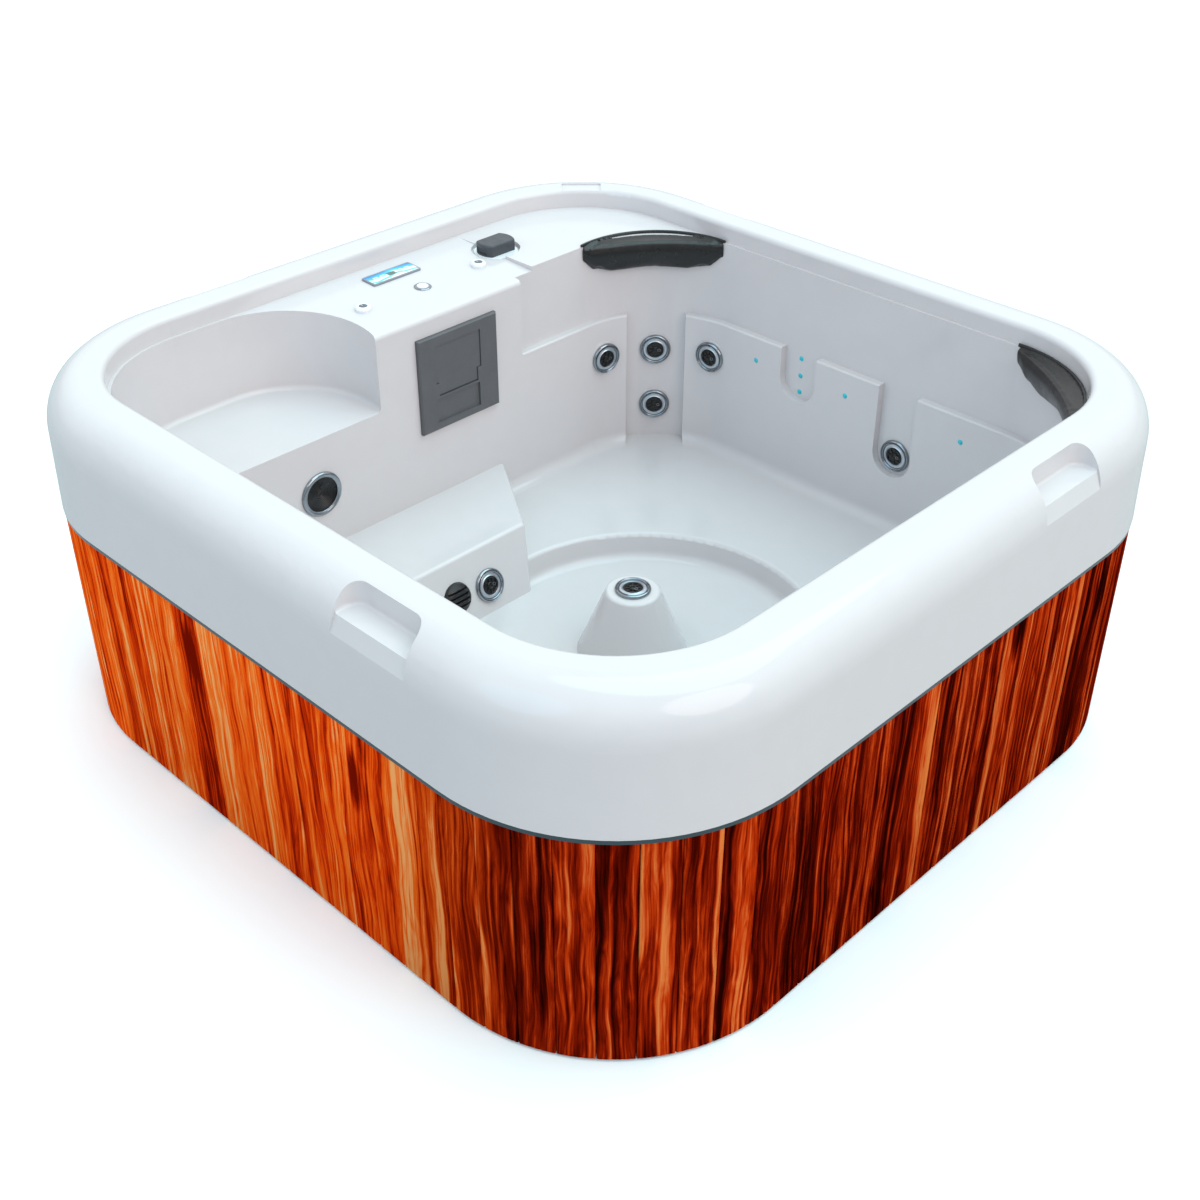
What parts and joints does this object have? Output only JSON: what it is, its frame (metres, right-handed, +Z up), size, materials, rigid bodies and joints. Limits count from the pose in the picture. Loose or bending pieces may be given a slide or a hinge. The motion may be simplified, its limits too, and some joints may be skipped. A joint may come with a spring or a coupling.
{
  "type": "hot tub",
  "caption": "Square hot tub with a thick rounded rim, wooden skirt, moulded seats, jets, skimmer, deck controls and head pillows.",
  "frame": {"origin": "on the ground under the middle of the tub", "axes": "+Z up, +X from the control deck towards the right-hand seats, +Y towards the long seat with the pillows"},
  "size_m": [2.006, 1.918, 0.842],
  "materials": {
    "acrylic": "gloss acrylic",
    "skirt_wood": "varnished hardwood",
    "frame_wood": "sawn softwood",
    "trim": "dark gloss strip",
    "tray": "moulded black",
    "foam": "foam block",
    "chrome": "polished",
    "jet_face": "spun",
    "white_plastic": "moulded white",
    "clear_plastic": "polished clear cap",
    "grey_plastic": "moulded dark grey",
    "dark_plastic": "moulded black",
    "panel_grey": "moulded grey",
    "panel_face": "printed film",
    "key": "moulded key",
    "cyan": "moulded cyan",
    "pillow": "smooth skinned foam",
    "lamp": "dark lens",
    "filter_paper": "pleated",
    "motor_paint": "satin paint",
    "steel": "drawn tube",
    "pipe": "rigid pipe"
  },
  "bodies": {
    "root": {"shell": "acrylic", "base_tray": "tray", "girts": "frame_wood", "studs": "frame_wood", "top_rails": "frame_wood", "foam_supports": "foam", "skirt_front": "skirt_wood", "skirt_right": "skirt_wood", "skirt_back": "skirt_wood", "skirt_left": "skirt_wood", "skirt_corners": "skirt_wood", "service_panel": "skirt_wood", "service_panel_backing": "frame_wood", "service_panel_screws": "steel", "skirt_trim": "trim", "jet_bodies": "dark_plastic", "jet_nuts": "dark_plastic", "jet_bezels": "chrome", "air_injectors": "cyan", "suction_cover": "dark_plastic", "light_lamp": "lamp", "light_ring": "chrome", "skimmer_plate": "grey_plastic", "filter_housing": "white_plastic", "filter_cartridge": "filter_paper", "control_bezel": "panel_grey", "control_overlay": "panel_face", "pump_button_bezel": "panel_grey", "air_valve_bodies": "white_plastic", "diverter_body": "white_plastic", "pillow_far": "pillow", "pillow_right": "pillow", "pump_wet_end": "dark_plastic", "pump_motor": "motor_paint", "heater_tube": "steel", "control_box": "panel_grey", "air_blower": "panel_grey", "pipework": "pipe", "drain_valve": "dark_plastic", "cable_gland": "dark_plastic"},
    "diverter_knob": {"diverter_handle": "grey_plastic"},
    "air_cap_1": {"air_valve_cap_1": "white_plastic"},
    "air_cap_2": {"air_valve_cap_2": "white_plastic"},
    "button": {"pump_button": "clear_plastic"},
    "key_1": {"control_key_1": "key"},
    "key_2": {"control_key_2": "key"},
    "key_3": {"control_key_3": "key"},
    "key_4": {"control_key_4": "key"},
    "jet_1": {"jet_insert_1": "jet_face"},
    "jet_2": {"jet_insert_2": "jet_face"},
    "jet_3": {"jet_insert_3": "jet_face"},
    "jet_4": {"jet_insert_4": "jet_face"},
    "jet_5": {"jet_insert_5": "jet_face"},
    "jet_6": {"jet_insert_6": "jet_face"},
    "jet_7": {"jet_insert_7": "jet_face"},
    "weir_door": {"skimmer_door": "grey_plastic"}
  },
  "joints": [
    {"name": "diverter_turn", "type": "hinge", "parent": "root", "child": "diverter_knob", "pos_m": [-0.729, 0.371, 0.7805], "axis": [0, 0, 1], "range_deg": [0, 180]},
    {"name": "air_valve_turn_1", "type": "hinge", "parent": "root", "child": "air_cap_1", "pos_m": [-0.678, -0.107, 0.7854], "axis": [0.0415, 0, 0.9991], "range_deg": [0, 180]},
    {"name": "air_valve_turn_2", "type": "hinge", "parent": "root", "child": "air_cap_2", "pos_m": [-0.683, 0.269, 0.78561], "axis": [0.0415, 0, 0.9991], "range_deg": [0, 180]},
    {"name": "pump_button_press", "type": "slide", "parent": "root", "child": "button", "axis": [-0.0415, 0, -0.9991], "range_m": [0, 0.003], "stiffness_N_per_m": 600, "springref_m": -0.003},
    {"name": "control_key_press_1", "type": "slide", "parent": "root", "child": "key_1", "axis": [-0.0415, 0, -0.9991], "range_m": [0, 0.0008], "stiffness_N_per_m": 800, "springref_m": -0.0005},
    {"name": "control_key_press_2", "type": "slide", "parent": "root", "child": "key_2", "axis": [-0.0415, 0, -0.9991], "range_m": [0, 0.0008], "stiffness_N_per_m": 800, "springref_m": -0.0005},
    {"name": "control_key_press_3", "type": "slide", "parent": "root", "child": "key_3", "axis": [-0.0415, 0, -0.9991], "range_m": [0, 0.0008], "stiffness_N_per_m": 800, "springref_m": -0.0005},
    {"name": "control_key_press_4", "type": "slide", "parent": "root", "child": "key_4", "axis": [-0.0415, 0, -0.9991], "range_m": [0, 0.0008], "stiffness_N_per_m": 800, "springref_m": -0.0005},
    {"name": "jet_turn_1", "type": "hinge", "parent": "root", "child": "jet_1", "pos_m": [-0.4875, 0.7295, 0.463], "axis": [0.7071, -0.7071, 0], "range_deg": [0, 120]},
    {"name": "jet_turn_2", "type": "hinge", "parent": "root", "child": "jet_2", "pos_m": [-0.4875, 0.7295, 0.295], "axis": [0.7071, -0.7071, 0], "range_deg": [0, 120]},
    {"name": "jet_turn_3", "type": "hinge", "parent": "root", "child": "jet_3", "pos_m": [-0.53912, 0.58687, 0.467], "axis": [0.9816, -0.1908, 0], "range_deg": [0, 120]},
    {"name": "jet_turn_4", "type": "hinge", "parent": "root", "child": "jet_4", "pos_m": [-0.33431, 0.78294, 0.472], "axis": [0.1478, -0.989, 0], "range_deg": [0, 120]},
    {"name": "jet_turn_5", "type": "hinge", "parent": "root", "child": "jet_5", "pos_m": [0.271, 0.812, 0.391], "axis": [0, -1, 0], "range_deg": [0, 120]},
    {"name": "jet_turn_6", "type": "hinge", "parent": "root", "child": "jet_6", "pos_m": [-0.25326, -0.115, 0.192], "axis": [0.9455, 0, 0.3256], "range_deg": [0, 120]},
    {"name": "jet_turn_7", "type": "hinge", "parent": "root", "child": "jet_7", "pos_m": [0.118, 0.006, 0.296], "axis": [0, 0, 1], "range_deg": [0, 120]},
    {"name": "skimmer_door_tip", "type": "hinge", "parent": "root", "child": "weir_door", "pos_m": [-0.542, 0.063, 0.57], "axis": [0, -1, 0], "range_deg": [0, 75]}
  ]
}
